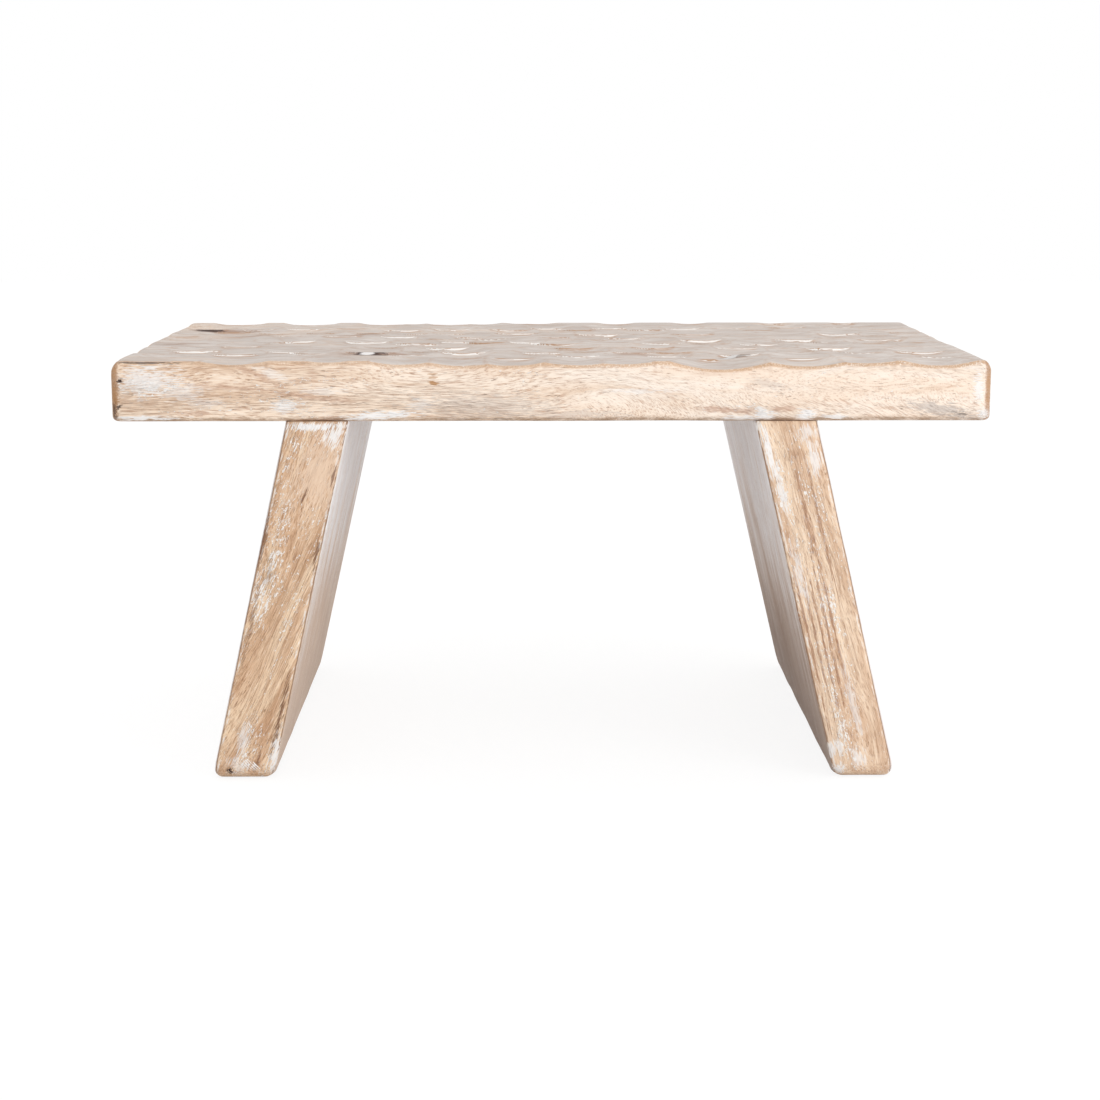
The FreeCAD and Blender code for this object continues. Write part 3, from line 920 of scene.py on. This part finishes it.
def seat_finish():
    """The seat: limed on top and underneath, nearly bare on its edges, with painted shade on its
    upright corners and on the edge that turns under.
    """
    material, g = new_material("limed_seat")
    place = g.place()
    across = place.axis(0)
    grain = place + g.mesh_vector("shift")
    over = g.mesh_value("over")
    tear = g.noise(grain, tear_size, detail=3, roughness=0.7) - 0.5
    pale = g.step(across, *seat_pale) * 0.95
    low_down = g.step(place.axis(2) + tear * 0.02, *seat_low_down)
    slanting = g.step(across, *seat_slanting) * g.greater(low_down, 0.35)
    rough = g.step(across, *seat_rough) * 0.2
    wood, wood_height = bare_wood(g, grain, pale - low_down * 0.2, slanting, 0.5, rough)
    sawn = g.step(g.greater(g.facing().axis(0), -g.facing().axis(0)), 0.75, 0.95)
    wood = g.blend(sawn, wood, end_grain(g, place, wood))
    flat_place = g.vector(across, 0, place.axis(2))
    crowded = g.patches(flat_place, tear, seat_fleck_places)
    wood, wood_height = with_flecks(g, grain, wood, wood_height, 0.4 + crowded - pale)

    left_back = g.step(across * 0.6 - place.axis(1), *seat_left_back)
    thin = left_back * 0.2 + g.noise(place, seat_thin_size, detail=2) * 0.55
    washes = [tone(*shade) for shade in seat_washes]
    wash, wash_height = limed(g, grain, wood, wood_height, washes, seat_streak_width, thin)
    on_face = g.step(over + tear * 0.003, *seat_wash_edge)
    colour = g.blend(on_face, wood, wash)
    height = wood_height + on_face * (wash_height - wood_height)

    round_over = g.step(over + tear * 0.002, *seat_round_over) * (1 - on_face)
    upper = g.step(g.facing().axis(2), -0.2, 0.2)
    speck = g.noise(place, speck_size, detail=2)
    band = round_over * upper * (0.5 + pale * 0.4) * g.step(speck, 0.25, 0.55)
    colour = g.blend(band, colour, tone(212, 172, 136))
    # The edge that turns under painted dark brown: bare wood, with painted shade where it faces
    # down
    below = round_over * (1 - upper) * g.step(tear, -0.25, 0.1)
    colour = g.blend(below * 0.7, colour, tone(150, 114, 84))
    # The upright corners painted brown: bare wood, with painted shade where each corner turns away
    # from the front
    upright = g.step(g.mesh_value("corner") + tear * 0.003, *seat_upright_edge) * (1 - on_face)
    colour = g.blend(upright * 0.7, colour, tone(176, 132, 98))
    colour = marked(g, colour, grain, tear, seat_front_marks)
    colour = lips(g, colour, grain, tear)
    colour = marked(g, colour, grain, tear, seat_top_marks, on_top=True)
    g.finish(colour, 0.72, height, bump_depth)
    return material


def leg_finish(name, side, splay_share, leg_wood, marks, fleck_places):
    """A leg: limed on its broad faces, nearly bare on its edges."""
    lean, rough, foot_wood_and_shade = leg_wood
    material, g = new_material(name)
    place = g.place()
    up = place.axis(2)
    upright = place.axis(0) + up * side * splay_share
    grain = g.vector(up, place.axis(1), upright) + g.mesh_vector("shift")
    grain = leaning(g, grain, side * lean)
    over = g.mesh_value("over")
    tear = g.noise(grain, tear_size, detail=3, roughness=0.7) - 0.5
    wood, wood_height = bare_wood(g, grain, 0.0, 0.3, side * 0.3, rough)
    flat_place = g.vector(place.axis(0), 0, up)
    crowded = g.patches(flat_place, tear, fleck_places)
    wood, wood_height = with_flecks(g, grain, wood, wood_height, 0.4 + crowded * 0.9)
    sawn = g.step(g.facing().axis(2), -0.75, -0.95)
    wood = g.blend(sawn, wood, end_grain(g, g.vector(up, place.axis(1), place.axis(0)), wood))
    inside = g.step(g.facing().axis(0) * side, 0.2, -0.2)
    # Darker and browner towards the foot, most on the inner faces that turn down: the wash worn
    # thin over brown wood, and on the right leg painted shade too
    low_down = g.step(up + tear * 0.05, *leg_low_down) * (0.2 + inside * 0.8)
    stained_and_shaded = g.blend(low_down * 0.75, wood, tone(*foot_wood_and_shade))
    thin = low_down * 0.5 + g.noise(grain, leg_thin_size, detail=2) * 0.5
    # Lit and shaded copies of one wash: the outer faces, lit by the lamp, take the darker one, and
    # the inner faces, in shade under the seat, take the lighter one as painted light
    washes = [g.blend(inside, tone(*outer), tone(*inner))
              for outer, inner in zip(leg_outside_washes, leg_inside_washes_with_painted_light)]
    wash, wash_height = limed(g, grain, stained_and_shaded, wood_height, washes, leg_streak_width, thin)
    on_face = g.step(over + tear * 0.002, *leg_wash_edge)
    colour = g.blend(on_face, wood, wash)
    height = wood_height + on_face * (wash_height - wood_height)
    edge = over + tear * 0.002
    pale_line = g.between(edge, *pale_line_edges)
    colour = g.blend(pale_line * g.step(tear, -0.05, 0.1) * 0.8, colour, tone(250, 244, 238))
    dark_line = g.between(edge, *dark_line_edges)
    colour = g.blend(dark_line * g.step(tear, -0.3, 0.0) * 0.75, colour, tone(138, 100, 72))
    colour = marked(g, colour, grain, tear, marks)
    g.finish(colour, 0.72, height, bump_depth)
    return material


def dowel_finish():
    """Bare beech, with its short flecks."""
    material, g = new_material("bare_beech")
    place = g.place()
    fleck = g.noise(place, beech_fleck_size, detail=2)
    tint = g.noise(place, beech_tint_size, detail=3)
    colour = g.blend(tint, tone(214, 178, 138), tone(228, 198, 162))
    colour = g.blend(g.step(fleck, 0.6, 0.72) * 0.5, colour, tone(168, 122, 86))
    g.finish(colour, 0.6, fleck, beech_bump_depth)
    return material


def add_camera():
    """The photograph's camera."""
    data = bpy.data.cameras.new("photo_camera")
    data.sensor_width = 36
    data.lens = data.sensor_width * camera_focal_px / photo_side_px
    camera = put_in_scene("photo_camera", data)
    level = math.radians(90)
    turn = Matrix.Rotation(camera_yaw, 4, "Z") @ Matrix.Rotation(level - camera_pitch, 4, "X")
    camera.matrix_world = Matrix.Translation(camera_place) @ turn
    bpy.context.scene.camera = camera


def seen_share(g):
    """1 where the eye, a reflection or glass looks straight at this surface."""
    path = g.node("ShaderNodeLightPath", {}, {}, output=None)
    camera_ray, glossy_ray, glass_ray = (
        Wire(g, path.outputs[name])
        for name in ("Is Camera Ray", "Is Glossy Ray", "Is Transmission Ray"))
    return g.lesser(camera_ray + glossy_ray + glass_ray, 1)


def add_floor():
    """A plain white floor that keeps a faint shadow of the stool."""
    mesh = bpy.data.meshes.new("studio_floor")
    half = floor_side / 2
    mesh.from_pydata([(-half, -half, 0), (half, -half, 0), (half, half, 0), (-half, half, 0)],
                     [], [(0, 1, 2, 3)])
    floor = put_in_scene("studio_floor", mesh)
    material, g = new_material("studio_white")
    paper = g.node("ShaderNodeBsdfDiffuse", {}, {"Color": tone(243, 243, 243)})
    glow = g.node("ShaderNodeEmission", {}, {"Strength": floor_glow})
    shader = g.node("ShaderNodeMixShader", {}, {0: seen_share(g) * 0.8, 1: paper, 2: glow})
    g.node("ShaderNodeOutputMaterial", {}, {"Surface": shader}, output=None)
    mesh.materials.append(material)


def add_light():
    """Soft white light all round, with a large soft lamp from the front right."""
    world = bpy.data.worlds.new("studio")
    bpy.context.scene.world = world
    world.use_nodes = True
    g = Graph(world.node_tree)
    around = g.node("ShaderNodeBackground", {}, {"Strength": world_light})
    white = g.node("ShaderNodeBackground", {}, {"Strength": 1.0})
    for background in (around, white):
        background.socket.node.inputs["Color"].default_value = tone(255, 255, 255)
    both = g.node("ShaderNodeMixShader", {}, {0: seen_share(g), 1: around, 2: white})
    g.node("ShaderNodeOutputWorld", {}, {"Surface": both}, output=None)

    lamp = bpy.data.lights.new("soft_lamp", "AREA")
    lamp.shape = "SQUARE"
    lamp.size = lamp_side
    lamp.energy = lamp_power
    holder = put_in_scene("soft_lamp", lamp)
    holder.location = lamp_place
    holder.rotation_euler = (lamp_target - lamp_place).to_track_quat("-Z", "Y").to_euler()


bpy.context.scene.view_settings.view_transform = "Standard"
add_camera()
add_floor()
add_light()
seat_boards(seat_finish())
leg_boards(left_leg_nodes, -1, left_leg_splay_share,
           leg_finish("limed_left_leg", -1, left_leg_splay_share, left_leg_wood,
                      left_leg_marks, left_fleck_places))
leg_boards(right_leg_nodes, 1, right_leg_splay_share,
           leg_finish("limed_right_leg", 1, right_leg_splay_share, right_leg_wood,
                      right_leg_marks, right_fleck_places))
beech = dowel_finish()
for node in ("left_leg_dowels", "right_leg_dowels"):
    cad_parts[node].data.materials.clear()
    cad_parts[node].data.materials.append(beech)
